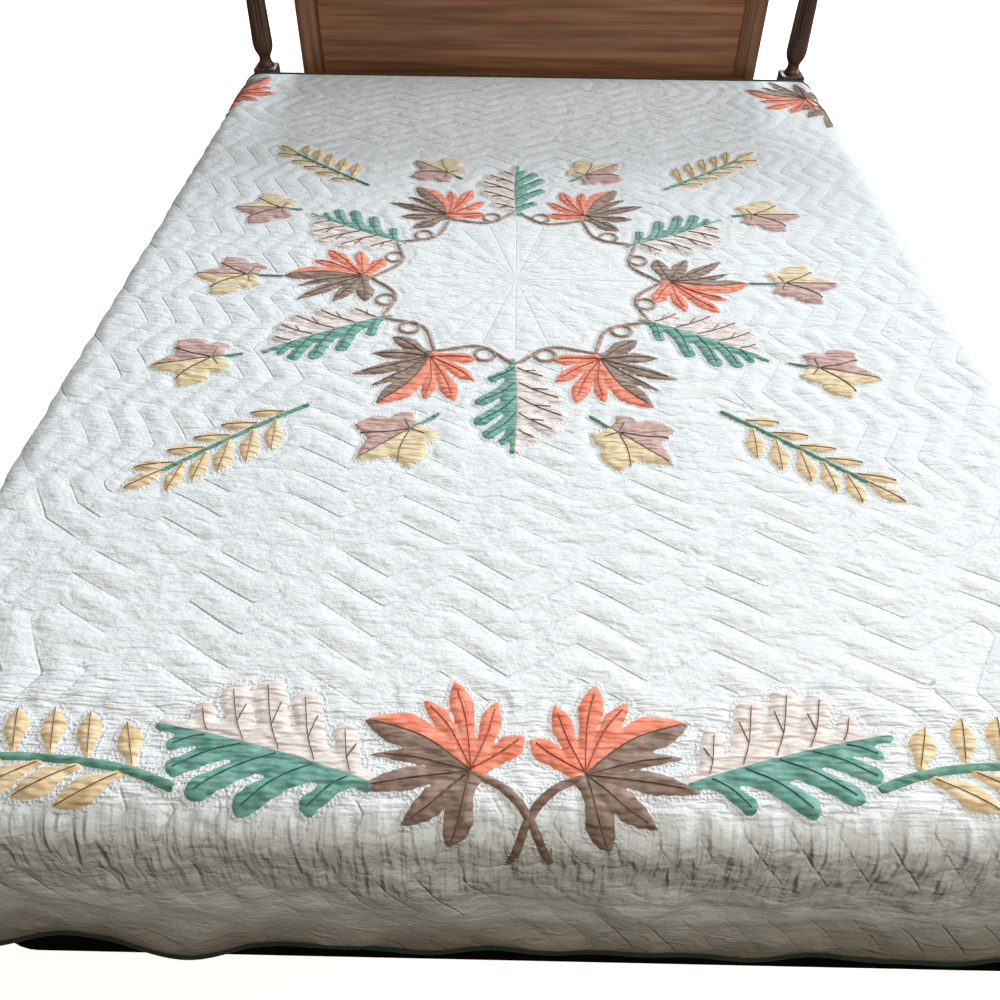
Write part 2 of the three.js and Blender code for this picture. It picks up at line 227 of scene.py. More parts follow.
# half widths of the sewn strips
STRIP_HALF = {"vine": 0.0038, "tulip": 0.0030, "sprig": 0.0040, "border": 0.0052, "twig": 0.0046}
BOWS = {"orange": 0.09, "pink": 0.02}  # how far a cloth bows the midrib, in leaf lengths
leaves = []
bands = []


def aim(start, end):
    """The distance and the direction from one flat point to another."""
    length = np.linalg.norm(np.subtract(end, start))
    return length, np.subtract(end, start) / length


def add_leaf(kind, base, tip, left, right):
    """One leaf from base to tip, with the cloths of its left and right halves."""
    own_kind = {"pink": "oak_open", "orange": "maple_open", "brown": "maple_close"}
    halves = [(own_kind.get(cloth, kind), cloth) for cloth in (left, right)]
    bow = BOWS.get(left, 0) - BOWS.get(right, 0)
    leaves.append((WREATH + base, WREATH + tip, *halves, bow))


def bowed(share, bow):
    """How far a bowed midrib lies off its straight line, in leaf lengths."""
    share = np.clip(share, 0, 1)
    return 4 * bow * share * (1 - share)


def from_head(degrees, radius):
    """A point round the wreath, clockwise from the head of the bed."""
    return radius * np.array([math.sin(math.radians(degrees)), math.cos(math.radians(degrees))])


for turn, left, right in [(0, "pink", "green"), (60, "green", "pink"), (120, "pink", "green"),
                          (180, "pink", "green"), (240, "green", "pink"), (300, "pink", "green")]:
    add_leaf("oak", *(from_head(turn, radius) for radius in OAK_RING), left, right)
for turn, left, right in [(30, "orange", "brown"), (90, "brown", "orange"), (150, "brown", "orange"),
                          (210, "orange", "brown"), (270, "brown", "orange"), (330, "brown", "orange")]:
    add_leaf("maple", *(from_head(turn, radius) for radius in MAPLE_RING), left, right)
for tip, stem, left, right in [
    ((-0.215, 0.470), (-0.110, 0.388), "mauve", "yellow"),
    ((0.215, 0.470), (0.110, 0.388), "yellow", "mauve"),
    ((-0.214, -0.472), (-0.108, -0.369), "yellow", "mauve"),
    ((0.214, -0.472), (0.108, -0.369), "mauve", "yellow"),
    ((0.547, 0.251), (0.413, 0.245), "yellow", "mauve"),
    ((-0.547, 0.251), (-0.413, 0.245), "mauve", "yellow"),
    ((0.558, 0.0), (0.402, 0.0), "yellow", "mauve"),
    ((-0.558, 0.0), (-0.402, 0.0), "yellow", "mauve"),
    ((0.555, -0.270), (0.420, -0.232), "mauve", "yellow"),
    ((-0.555, -0.270), (-0.420, -0.232), "yellow", "mauve"),
]:
    _, way = aim(stem, tip)
    base = np.array(tip) - TULIP_LENGTH * way
    add_leaf("tulip", base, np.array(tip), left, right)
    bands.append(("stem", WREATH + np.linspace(stem, base + 0.006 * way, 12), STRIP_HALF["tulip"]))
print(len(leaves), "leaves round the wreath")

# %% [markdown]
# The vine is a bias strip, sewn down in short bows between the leaves' feet. Each bow makes one curl
# on its outer side, which is drawn as a full circle that leaves and rejoins the bow.

# %% The vine
CURL = 0.0155
VINE_RADIUS, VINE_DIP = 0.250, 0.040
BOW_STEPS = 28


def vine_bow(start, end, curl_at):
    """One bow of the vine between two places, clockwise in degrees, with its curl."""
    share = np.linspace(0, 1, BOW_STEPS + 1)
    radius = VINE_RADIUS - VINE_DIP * np.sin(np.pi * share)
    points = np.array([from_head(start + (end - start) * s, r) for s, r in zip(share, radius)])
    turn_place = int(round(curl_at * BOW_STEPS))
    touch = points[turn_place]
    outward = touch / np.linalg.norm(touch)
    forward = np.array([outward[1], -outward[0]])
    turn = np.linspace(0, 2 * np.pi, 27)[1:-1]
    curl = touch + CURL * (np.outer(1 - np.cos(turn), outward) + np.outer(np.sin(turn), forward))
    return np.concatenate([points[: turn_place + 1], curl, points[turn_place:]])


for k in range(12):
    curl_at = 0.39 if k % 2 == 0 else 0.61
    bands.append(("vine", WREATH + vine_bow(30 * k, 30 * k + 30, curl_at), STRIP_HALF["vine"]))
print(len(bands), "bands so far")

# %% [markdown]
# A sprig is a green bias stem with a row of small leaves on each side and one at its end. Four lie
# outside the wreath, and one on each side of the foot border runs out towards the bed's corner.

# %% Sprigs and border


def smooth_path(points, step=0.005):
    """A Catmull-Rom curve through flat points."""
    points = np.asarray(points, float)
    ends = np.concatenate([[2 * points[0] - points[1]], points, [2 * points[-1] - points[-2]]])
    made = []
    for a, b, c, d in zip(ends, ends[1:], ends[2:], ends[3:]):
        t = np.linspace(0, 1, max(int(np.linalg.norm(c - b) / step), 2), endpoint=False)[:, None]
        slope, bend, twist = (c - a) / 2, a - 2.5 * b + 2 * c - d / 2, 1.5 * (b - c) + (d - a) / 2
        made.append(b + t * slope + t**2 * bend + t**3 * twist)
    return np.concatenate([*made, points[-1:]])


def sprig(path, leaflets, half, end_length):
    """A stem with a leaf at its end, and leaflets: metres along it, degrees to its left, length, kind."""
    bands.append(("stem", WREATH + path, half))
    run = np.concatenate([[0], np.cumsum(np.linalg.norm(np.diff(path, axis=0), axis=1))])
    heading = np.gradient(path, axis=0)
    for at, degrees, length, kind in leaflets:
        base = np.array([np.interp(at, run, path[:, axis]) for axis in (0, 1)])
        way = [np.interp(at, run, heading[:, axis]) for axis in (0, 1)]
        turned = math.atan2(way[1], way[0]) + math.radians(degrees)
        way = np.array([math.cos(turned), math.sin(turned)])
        base = base + way * (half + 0.003)
        add_leaf(kind, base, base + way * length, "tan", "tan")
    _, way = aim(path[-4], path[-1])
    add_leaf("leaflet", path[-1], path[-1] + way * end_length, "tan", "tan")


SPRIG_STEM = [(0.297, 0.354), (0.355, 0.400), (0.414, 0.450), (0.468, 0.499)]
INNER = [(0.030, 33, 0.052), (0.072, 33, 0.054), (0.113, 33, 0.054), (0.153, 33, 0.054), (0.198, 30, 0.056)]
OUTER = [(0.050, -56, 0.064), (0.086, -54, 0.066), (0.122, -48, 0.064), (0.156, -44, 0.060),
         (0.190, -40, 0.058)]
for side, end in [(1, 1), (1, -1), (-1, 1), (-1, -1)]:
    path = smooth_path(np.array(SPRIG_STEM) * (side, end))
    hand = -side * end
    rows = [(at, hand * turn, length, "slim") for at, turn, length in INNER + OUTER]
    sprig(path, rows, STRIP_HALF["sprig"], 0.056)

LEFT_STEM = [(-0.326, -0.948), (-0.372, -0.932), (-0.430, -0.922), (-0.510, -0.919), (-0.612, -0.925)]
UPPER = [(0.046, -52, 0.054), (0.096, -68, 0.053), (0.134, -72, 0.053), (0.172, -74, 0.052),
         (0.212, -72, 0.050), (0.250, -66, 0.048)]
LOWER = [(0.052, 42, 0.066), (0.096, 36, 0.066), (0.136, 34, 0.064), (0.176, 33, 0.062), (0.216, 33, 0.058),
         (0.254, 32, 0.052)]
for side, shift in [(-1, 0.0), (1, 0.032)]:
    path = smooth_path(np.array(LEFT_STEM) * (-side, 1) + (shift, 0.012 if side > 0 else 0))
    rows = [(at, -side * turn, length, "leaflet") for at, turn, length in UPPER]
    rows += [(at, -side * turn, length, "slim") for at, turn, length in LOWER]
    sprig(path, rows, STRIP_HALF["border"], 0.050)

add_leaf("maple", (-0.036, -0.928), (-0.151, -0.870), "brown", "orange")
add_leaf("maple", (0.070, -0.930), (0.183, -0.867), "orange", "brown")
add_leaf("oak", (-0.141, -0.937), (-0.363, -0.878), "green", "pink")
add_leaf("oak", (0.180, -0.931), (0.388, -0.876), "pink", "green")
add_leaf("maple", (0.697, 0.848), (0.556, 0.905), "orange", "brown")
add_leaf("maple", (0.733, 0.812), (0.790, 0.671), "orange", "brown")
add_leaf("maple", (-0.700, 0.832), (-0.612, 0.946), "brown", "orange")
add_leaf("maple", (-0.733, 0.812), (-0.790, 0.671), "brown", "orange")
for path in [
    [(-0.036, -0.928), (-0.008, -0.941), (0.018, -0.967), (0.040, -1.016)],
    [(0.070, -0.930), (0.044, -0.941), (0.018, -0.967), (0.000, -1.016)],
    [(0.697, 0.848), (0.712, 0.838), (0.730, 0.832)],
    [(0.733, 0.812), (0.722, 0.826), (0.716, 0.846)],
    [(-0.700, 0.832), (-0.712, 0.822), (-0.730, 0.820)],
]:
    bands.append(("twig", WREATH + smooth_path(path), STRIP_HALF["twig"]))
print(len(leaves), "leaves,", len(bands), "bands")

# %% [markdown]
# Hand quilting leaves the ground round each leaf free, so every point of the cloth needs its distance
# to the nearest leaf or band. It comes from the same rules that cut the leaves.

# %% Distance to the sewn-on work
FAR = 0.06


def leaf_field(u, v):
    """Distance from flat points to the nearest leaf or band, minus inside, and at most FAR."""
    nearest = np.full(u.shape, FAR)
    for base, tip, left, right, bow in leaves:
        length, way = aim(base, tip)
        near = np.flatnonzero(np.hypot(u - base[0], v - base[1]) < length + FAR)
        from_u, from_v = (u[near] - base[0]) / length, (v[near] - base[1]) / length
        along, out = from_u * way[0] + from_v * way[1], from_v * way[0] - from_u * way[1]
        out = out - bowed(along, bow)
        shape = np.where(out > 0, leaf_shape(left[0], along, out), leaf_shape(right[0], along, out))
        nearest[near] = np.minimum(nearest[near], length * shape)
    for _, path, half in bands:
        low, high = path.min(0) - FAR, path.max(0) + FAR
        near = np.flatnonzero((u > low[0]) & (u < high[0]) & (v > low[1]) & (v < high[1]))
        gap = np.hypot(u[near, None] - path[:, 0], v[near, None] - path[:, 1]).min(1)
        nearest[near] = np.minimum(nearest[near], gap - half)
    return nearest


print("at the wreath's middle", leaf_field(WREATH[:1], WREATH[1:]))

# %% [markdown]
# ## The quilt's relief
# Zigzag rows of hand stitching run along the bed, but across it in the two triangles towards its head
# and its foot. They make an inner square and a border that lies half a wave off it. A whole number of
# rows and of half waves fills the square, so the rows meet at its corners.

# %% Rows
HALF_WAVE = 0.0745
ROW = 0.0452
HALF_WAVES, ROWS = 17, 27
DIAMOND = HALF_WAVES * HALF_WAVE
RISE = DIAMOND - ROWS * ROW
SLANT = 0.85  # cosine of the strokes' lean
BORDER = 0.93


def smooth(low, high, value):
    """Runs softly from 0 to 1 between two values."""
    share = np.clip((value - low) / (high - low), 0, 1)
    return share * share * (3 - 2 * share)


def zigzag_rows(u, v):
    """The row count, whole on a stitched line, the metres along the rows and how hard the thread pulls."""
    across = u - WREATH[0] + 0.005 * np.sin(7 * v + 1) + 0.002 * np.sin(41 * v)
    along = v - WREATH[1] + 0.005 * np.sin(6 * u) + 0.002 * np.sin(37 * u + 2)
    out, away = np.abs(across), np.abs(along)
    corner = out + away > DIAMOND
    ends = (away > out) & ~corner & (away < BORDER)
    edge = np.maximum(out, away) - DIAMOND / 2
    run = np.where(ends, out, away) + HALF_WAVE * (edge < 0)
    swing = (run / (2 * HALF_WAVE)) % 1 - 0.5
    rows = (np.where(ends, away, out) - RISE * 2 * np.abs(swing)) / ROW
    rows = np.where(corner & (away > DIAMOND / 2), ROWS - rows, rows)
    falling = swing * np.sign(across) * np.sign(along) < 0
    seam = np.where(corner, 1.0, np.abs(away - BORDER))
    seam = np.where(out > DIAMOND / 2, np.abs(away - DIAMOND / 2), seam)
    seam = np.minimum(seam, np.abs(edge))
    pull = np.where(falling, np.where(ends, 1.0, 0.7), 0.4)
    return rows, run, pull * smooth(0.006, 0.016, seam)


print("row count beside the wreath", zigzag_rows(np.array([0.5]), np.array([0.9]))[0])

# %% [markdown]
# Each stitched line pulls the cloth down and the filling puffs up between the lines. Inside the wreath
# the lines are rays from its middle. The ground sinks in round each leaf and swells under it. The washed
# cloth is slack everywhere, gathered on the foot roll and crumpled where it hangs below it.

# %% Heights
PLAIN_THICK, HEM_THICK = 0.0055, 0.005
PUFF, TOP_PUFF, PUFF_REACH = 0.0014, 0.0015, 0.010
RIM_SINK, LEAF_SWELL = 0.0014, 0.0016
SUN, RAYS = 0.215, 24


def to_line(count):
    """Distance to the nearest whole count, from 0 to 0.5."""
    return np.abs((count + 0.5) % 1 - 0.5)


def crinkle(u, v, across, along):
    """A seeded field of soft wrinkles with the given sizes."""
    return np.array([noise.noise((a / across, b / along, 0.5)) for a, b in zip(u, v)])


def quilt_height(u, v, leaf):
    """The quilt's thickness in metres, with its sewing."""
    rows, _, _ = zigzag_rows(u, v)
    reach = np.hypot(u - WREATH[0], v - WREATH[1])
    bearing = np.arctan2(v - WREATH[1], u - WREATH[0])
    ray = to_line(bearing * RAYS / (2 * np.pi)) * 2 * np.pi / RAYS * reach
    line = np.where(reach < SUN, np.minimum(ray, np.abs(reach - SUN)), to_line(rows) * ROW * SLANT)
    flatter = smooth(-0.10, 0.0, v) * smooth(0.825, 0.725, np.abs(u))
    full = np.where(reach < SUN, PUFF, (PUFF + TOP_PUFF * flatter) * (1 - 0.3 * smooth(0.5, 1.2, v)))
    puff = full * (1 - np.exp(-((line / PUFF_REACH) ** 2)))
    ground = PLAIN_THICK + puff * smooth(0.003, 0.020, leaf)
    ground = ground - RIM_SINK * np.exp(-(((leaf - 0.004) / 0.0035) ** 2))
    ground = ground + LEAF_SWELL * smooth(0.0, -0.010, leaf)
    slack = 0.0014 * crinkle(u, v, 0.18, 0.15) + 0.0006 * crinkle(u, v, 0.034, 0.013)
    gather = smooth(-0.105, -0.045, v) * smooth(0.035, -0.005, v)
    slack = slack + 0.0026 * gather * crinkle(u, v, 0.011, 0.07)
    crumple = 0.003 + 0.0085 * crinkle(u, v, 0.10, 0.075) + 0.0045 * crinkle(u, v, 0.046, 0.034)
    slack = np.maximum(slack + crumple * smooth(-0.02, -0.07, v), -0.003)
    edge_u, edge_v = np.minimum(u - HEM_LOW[0], HEM_HIGH[0] - u), np.minimum(v - HEM_LOW[1], HEM_HIGH[1] - v)
    edge = np.minimum(edge_u, edge_v)
    return HEM_THICK + (ground + slack - HEM_THICK) * smooth(0.0, 0.03, edge)


print("plain height", quilt_height(np.array([0.3]), np.array([0.4]), np.array([FAR])))

# %% [markdown]
# ## Meshes
# Every cloth piece starts as a bmesh grid whose points are then set by a rule. A small helper does
# that, another turns the finished bmesh into an object that moves with the bed.

# %% Mesh helpers


def put(verts, places):
    """Moves points to their places."""
    for vert, there in zip(verts, places):
        vert.co = there


def index_of(share, points):
    """Which of a row of points lies at each share of it."""
    return np.rint(share * (len(points) - 1)).astype(int)


def grid(bm, across, along, place):
    """Adds a grid and sets its points from place(share across, share along)."""
    made = bmesh.ops.create_grid(bm, x_segments=across, y_segments=along, size=1.0)["verts"]
    share = np.array([vert.co[:2] for vert in made]) / 2 + 0.5
    put(made, place(share[:, 0], share[:, 1]))
    return made


def piece(name, bm, paint, flat=None, values=None):
    """An object from a bmesh, with its flat place as UV map and its values as attributes."""
    mesh = bpy.data.meshes.new(name)
    bm.to_mesh(mesh)
    bm.free()
    mesh.shade_smooth()
    mesh.materials.append(paint)
    if flat is not None:
        corner = np.zeros(len(mesh.loops), int)
        mesh.loops.foreach_get("vertex_index", corner)
        mesh.uv_layers.new(name="flat").data.foreach_set("uv", flat[corner, :2].astype(np.float32).ravel())
    for key, value in (values or {}).items():
        mesh.attributes.new(key, "FLOAT", "POINT").data.foreach_set("value", value.astype(np.float32))
    made = bpy.data.objects.new(name, mesh)
    bpy.context.scene.collection.objects.link(made)
    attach(made, "root")
    mesh.calc_loop_triangles()
    print(name, len(mesh.loop_triangles), "triangles")
    return made


print("mesh helpers ready")

# %% [markdown]
# ## Node wiring
# Materials are written as sums. A Wire is one socket of a material, and arithmetic on it adds the
# matching node, so a weave or a wood grain reads as its formula.

# %% Wire


class Wire:
    """One output socket of a node tree."""

    def __init__(self, tree, socket):
        self.tree = tree
        self.socket = socket

    def node(self, kind, settings, inputs, output=0):
        """Any other node: its type, its settings, then its inputs."""
        made = self.tree.nodes.new(kind)
        for key, value in settings.items():
            setattr(made, key, value)
        for key, value in inputs.items():
            if isinstance(value, Wire):
                self.tree.links.new(value.socket, made.inputs[key])
            else:
                made.inputs[key].default_value = value
        return Wire(self.tree, made.outputs[output])

    def math(self, operation, *inputs):
        return self.node("ShaderNodeMath", {"operation": operation}, dict(enumerate(inputs)))

    def __add__(self, other):
        return self.math("ADD", self, other)

    def __sub__(self, other):
        return self.math("SUBTRACT", self, other)

    def __rsub__(self, other):
        return self.math("SUBTRACT", other, self)

    def __mul__(self, other):
        return self.math("MULTIPLY", self, other)

    __radd__, __rmul__ = __add__, __mul__

    def __abs__(self):
        return self.math("ABSOLUTE", self)

    def smooth(self, low, high):
        """Runs softly from 0 to 1 between two values."""
        settings = {"interpolation_type": "SMOOTHSTEP"}
        return self.node("ShaderNodeMapRange", settings, {0: self, 1: low, 2: high})

    def to_line(self):
        """Distance to the nearest whole number."""
        return abs(self.math("FRACT", self + 0.5) - 0.5)

    def times(self, x, y, z):
        """A vector with its axes scaled."""
        return self.node("ShaderNodeVectorMath", {"operation": "MULTIPLY"}, {0: self, 1: (x, y, z)})

    def noise(self, scale, detail=2.0, roughness=0.5, dimensions="3D"):
        inputs = {"Vector": self, "Scale": scale, "Detail": detail, "Roughness": roughness}
        return self.node("ShaderNodeTexNoise", {"noise_dimensions": dimensions}, inputs)

    def flat_noise(self, across, along, detail=2.0, roughness=0.5):
        """Noise on a flat place, with so many waves to the metre across and along it."""
        return self.times(across, along, 1).noise(1.0, detail, roughness, "2D")

    def cells(self, scale):
        settings = {"voronoi_dimensions": "2D"}
        return self.node("ShaderNodeTexVoronoi", settings, {"Vector": self, "Scale": scale})

    def axis(self, index):
        return self.node("ShaderNodeSeparateXYZ", {}, {0: self}, index)

    def between(self, first, second):
        """A colour from first to second by this share."""
        return self.node("ShaderNodeMix", {"data_type": "RGBA"}, {0: self, 6: first, 7: second}, 2)


def tone(red, green, blue):
    """A colour by its screen values from 0 to 255."""
    return tuple(((part / 255 + 0.055) / 1.055) ** 2.4 for part in (red, green, blue)) + (1.0,)


def material(name, **sockets):
    """A new material, its shader, and a Wire with the object's coordinates."""
    made = bpy.data.materials.new(name)
    made.use_nodes = True
    tree = made.node_tree
    shader = tree.nodes["Principled BSDF"]
    for key, value in sockets.items():
        shader.inputs[key.replace("_", " ")].default_value = value
    spot = Wire(tree, tree.nodes.new("ShaderNodeTexCoord").outputs["Object"])
    return made, shader, spot


def dress(shader, spot, colour=None, rough=None, height=None):
    """Links the varying inputs of a shader. Heights are metres."""
    for key, wire in {"Base Color": colour, "Roughness": rough}.items():
        if wire is not None:
            spot.tree.links.new(wire.socket, shader.inputs[key])
    if height is not None:
        normal = spot.node("ShaderNodeBump", {}, {"Strength": 1.0, "Distance": 1.0, "Height": height})
        spot.tree.links.new(normal.socket, shader.inputs["Normal"])


print("wiring ready")

# %% [markdown]
# ## Quilt cotton
# The top is plain-woven white cotton. Its stitched lines are sharper than the mesh can carry, so the
# shader repeats them from the row count: a narrow groove with small stitches in it, and rays inside the
# wreath. The ground next to a leaf stays free of lines.

# %% Stitched lines
STITCH = 0.0052
cotton, shader, spot = material("quilt_cotton", Roughness=0.72, Sheen_Weight=0.12, Sheen_Roughness=0.5)
flat_place = spot.node("ShaderNodeUVMap", {"uv_map": "flat"}, {})


def stored(name):
    return spot.node("ShaderNodeAttribute", {"attribute_name": name}, {}, "Fac")


leaf_gap = stored("leaf_gap")
from_foot = flat_place.axis(1)
open_ground = leaf_gap.smooth(0.004, 0.012)
inputs = {0: flat_place, 1: (*WREATH, 0)}
from_wreath = flat_place.node("ShaderNodeVectorMath", {"operation": "SUBTRACT"}, inputs)
reach = from_wreath.node("ShaderNodeVectorMath", {"operation": "LENGTH"}, {0: from_wreath}, "Value")
bearing = from_wreath.math("ARCTAN2", from_wreath.axis(1), from_wreath.axis(0))
in_sun = 1 - reach.smooth(SUN - 0.004, SUN + 0.004)
row_gap = stored("row_count").to_line() * (ROW * SLANT)
ray_gap = (bearing * (RAYS / (2 * math.pi))).to_line() * reach * (2 * math.pi / RAYS)
line_gap = row_gap + (ray_gap - row_gap) * in_sun
tension = stored("row_pull")
tension = tension + (0.3 - tension) * in_sun
groove = (1 - line_gap.smooth(0.0001, 0.0024)) * open_ground * tension
stitch = (stored("row_run") * (1 / STITCH)).to_line().smooth(0.12, 0.3)
print(len(spot.tree.nodes), "nodes for the stitched lines")

# %% [markdown]
# Washing shrinks the filling, so the cloth wrinkles between its lines. There are soft wrinkles and folded
# creases everywhere, a knobbly rim round each leaf, ripples in the foot border, puckers and tucks where the
# cloth turns over the mattress's edge, and crimped folds near the foot hem. Heights are metres.

# %% Wrinkles
halo = (1 - leaf_gap.smooth(0.0030, 0.0060)) * flat_place.cells(280.0) * 0.0018
border = (1 - from_foot.smooth(0.13, 0.20)) * from_foot.smooth(-0.01, 0.04)
border = border * (1 - leaf_gap.smooth(0.018, 0.034))
gathers = (1 - from_foot.smooth(-0.01, 0.03)) * from_foot.smooth(-0.12, -0.05)
fold_line = abs(flat_place.flat_noise(13, 26) - 0.5)
crease = 1 - fold_line.smooth(0.0, 0.11)
wrinkle = flat_place.flat_noise(21, 34, 4.0, 0.68) * 0.0050
ripple = flat_place.flat_noise(30, 210, 1.0) * border * 0.0036
tuck = 1 - abs(flat_place.flat_noise(34, 9) - 0.5).smooth(0.0, 0.15)
pucker = (flat_place.flat_noise(75, 11) * 0.009 + tuck * 0.003) * gathers
hem = 1 - from_foot.smooth(-0.22, -0.10)
crimp = (1 - fold_line.smooth(0.0, 0.08)) * hem * 0.0022
weave = flat_place.flat_noise(1400, 1400, 0.0) * 0.00010
folds = wrinkle + ripple + pucker + crimp - crease * 0.0009
height = folds + weave + halo - groove * (0.0016 + 0.0006 * stitch)
print(len(spot.tree.nodes), "nodes with the wrinkles")

# %% [markdown]
# The stitched groove is painted a little darker, as painted shade. The foot drop is painted greyer and warmer
# towards its hem than the lights alone make it, as painted shade in its colour.

# %% Cotton colour
# Painted shade: the foot drop's colour darkens and warms towards the hem.
shade_and_wear = (1 - from_foot.smooth(-0.26, -0.09)).between(tone(230, 237, 244), tone(132, 123, 106))
# Painted shade: the stitched groove is coloured a little darker grey.
shade = (groove * 0.2).between(shade_and_wear, tone(168, 174, 178))
dress(shader, spot, shade, None, height)
print(len(spot.tree.nodes), "nodes in the cotton")

# %% [markdown]
# ## The quilt
# One closed sheet: a fine face that carries the relief, and a coarser back that follows the same lay,
# joined round the hem. The mesh is finer towards the foot, which is nearest to the eye.

# %% Quilt
# lines of the mesh, and the flat places where they lie
FACE_U = ([0, 26, 248, 274], [HEM_LOW[0], -0.725, 0.725, HEM_HIGH[0]])
FACE_V = ([0, 108, 321], [HEM_LOW[1], 0.35, HEM_HIGH[1]])
BACK_U = ([0, 8, 16, 42, 50, 58], [HEM_LOW[0], -0.745, -0.665, 0.665, 0.745, HEM_HIGH[0]])
BACK_V = ([0, 6, 14, 54], [HEM_LOW[1], -0.03, 0.05, HEM_HIGH[1]])
BACK_LIFT = 0.0002


def ruled(share, lines):
    """Flat places of a mesh's ruled lines."""
    return np.interp(share * lines[0][-1], *lines)


face_flat = {}


def place_face(across, along):
    u, v = ruled(across, FACE_U), ruled(along, FACE_V)
    leaf = leaf_field(u, v)
    face_flat.update(u=u, v=v, leaf=leaf)
    return face(u, v, quilt_height(u, v, leaf))


def place_back(across, along):
    u, v = ruled(across, BACK_U), ruled(along, BACK_V)
    face_flat.update(back=np.stack([u, v], -1))
    return face(u, v, np.full(u.shape, BACK_LIFT))


bm = bmesh.new()
grid(bm, FACE_U[0][-1], FACE_V[0][-1], place_face)
front_faces = set(bm.faces)
grid(bm, BACK_U[0][-1], BACK_V[0][-1], place_back)
bmesh.ops.reverse_faces(bm, faces=[f for f in bm.faces if f not in front_faces])
bmesh.ops.bridge_loops(bm, edges=[edge for edge in bm.edges if edge.is_boundary])
front = np.stack([face_flat["u"], face_flat["v"]], -1)
flat = np.concatenate([front, face_flat["back"]])
rows, run, pull = zigzag_rows(flat[:, 0], flat[:, 1])
pull = pull * (0.3 + 0.7 * smooth(-0.32, 0.24, crinkle(flat[:, 0], flat[:, 1], 0.11, 0.11)))
gap = np.concatenate([face_flat["leaf"], np.full(len(face_flat["back"]), FAR)])
values = {"leaf_gap": gap, "row_count": rows, "row_run": run, "row_pull": pull}
quilt = piece("quilt_cloth", bm, cotton, flat, values)
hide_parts("quilt")

# %% [markdown]
# ## Binding
# The edge is closed with a narrow green strip, folded over the hem and sewn down: a rolled oval
# band that runs once round the whole quilt. Its dark tone is painted shade, and its mottling is wear.

# %% Binding
BIND_STEP = 0.011
BIND_OUT, BIND_HALF_WIDTH = 0.0024, 0.0046
BIND_LIFT, BIND_HALF_THICK = 0.0034, 0.0047
green_cloth, shader, spot = material("binding_cotton", Roughness=0.85, Sheen_Weight=0.15)
threads = spot.noise(900.0, 2.0)
# Painted shade: the binding's green is coloured dark. The mottled spread in it is wear.
shade_and_wear = spot.noise(60.0, 4.0).between(tone(22, 42, 36), tone(36, 60, 52))
dress(shader, spot, shade_and_wear, None, threads * 0.0002 + spot.noise(160.0, 3.0) * 0.0012)

middle = (HEM_LOW + HEM_HIGH) / 2
half_size = (HEM_HIGH - HEM_LOW) / 2
sides = [(-1, -1), (1, -1), (1, 1), (-1, 1), (-1, -1)]
rim = []
for (a, b), (c, d) in zip(sides, sides[1:]):
    ends = np.array([(a, b), (c, d)]) * half_size + middle
    count = int(np.linalg.norm(ends[1] - ends[0]) / BIND_STEP)
    rim.append(np.linspace(*ends, count, endpoint=False))
rim = np.concatenate([*rim, rim[0][:1]])
outer = np.where(np.abs(np.abs(rim - middle) - half_size) < 1e-6, np.sign(rim - middle), 0)


def place_binding(around, along):
    index = index_of(along, rim)
    swing = around * 2 * np.pi
    flat = rim[index] + outer[index] * (BIND_OUT + BIND_HALF_WIDTH * np.cos(swing))[:, None]
    return face(flat[:, 0], flat[:, 1], BIND_LIFT - BIND_HALF_THICK * np.sin(swing))


bm = bmesh.new()
grid(bm, 8, len(rim) - 1, place_binding)
bmesh.ops.remove_doubles(bm, verts=bm.verts, dist=1e-5)
bmesh.ops.recalc_face_normals(bm, faces=bm.faces)
binding = piece("binding_strip", bm, green_cloth)
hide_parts("binding")

# %% [markdown]
# ## Leaf veins
# The leaves are quilted through their veins: one runs into each lobe, and the pale oak halves have small
# side twigs as well. Each vein is a short line in leaf lengths, worked out from the lobes themselves.

# %% Vein rules


def ribs(kind, reach):
    """A vein into each lobe of an oak half, bent a little towards its tip."""
    return [[(x0 + 0.01, 0.012), (x0 + 0.55 * (x - x0), 0.45 * y), (x0 + reach * (x - x0), reach * y)]
            for (x0, _), (x, y), *_ in FINGERS[kind][:5]]


def twigs(kind):
    """Short side veins on the inner lobes of an oak half."""
    return [[(x0 + 0.5 * (x - x0), 0.42 * y), (x0 + 0.78 * (x - x0) - 0.042, 0.84 * y)]
            for (x0, _), (x, y), *_ in FINGERS[kind][:4]]


def lobe_veins(kind):
    """A vein from the leaf's foot into each side lobe of a maple half."""
    return [[(0.04, 0.01), (0.5 * x, 0.5 * y + 0.012), (0.86 * x, 0.86 * y)]
            for _, (x, y), *_ in FINGERS[kind][:4]]


RIB = [[(0.03, 0.0), (0.50, 0.0), (0.93, 0.0)]]
VEINS = {
    # polylines in leaf lengths for one half
    "maple_open": lobe_veins("maple_open"),
    "maple_close": lobe_veins("maple_close"),
    "oak": ribs("oak", 1.05),
    "oak_open": ribs("oak_open", 1.1) + twigs("oak_open"),
    "tulip": [[(0.06, 0.02), (0.36, 0.20), (0.60, 0.42)], [(0.02, 0.03), (-0.05, 0.22)]],
    "leaflet": [],
    "slim": [],
}
print(sum(len(lines) for lines in VEINS.values()), "vein lines")

# %% [markdown]
# ## Leaf patches
# Each half leaf is cut from a small grid: faces outside the outline go, the cut edge is drawn onto the
# outline, and the inside is relaxed. The cut shape is kept once for each kind and laid wherever the
# layout needs it, mirrored for the other half. A patch puffs up inside and sinks in at its seam and veins.

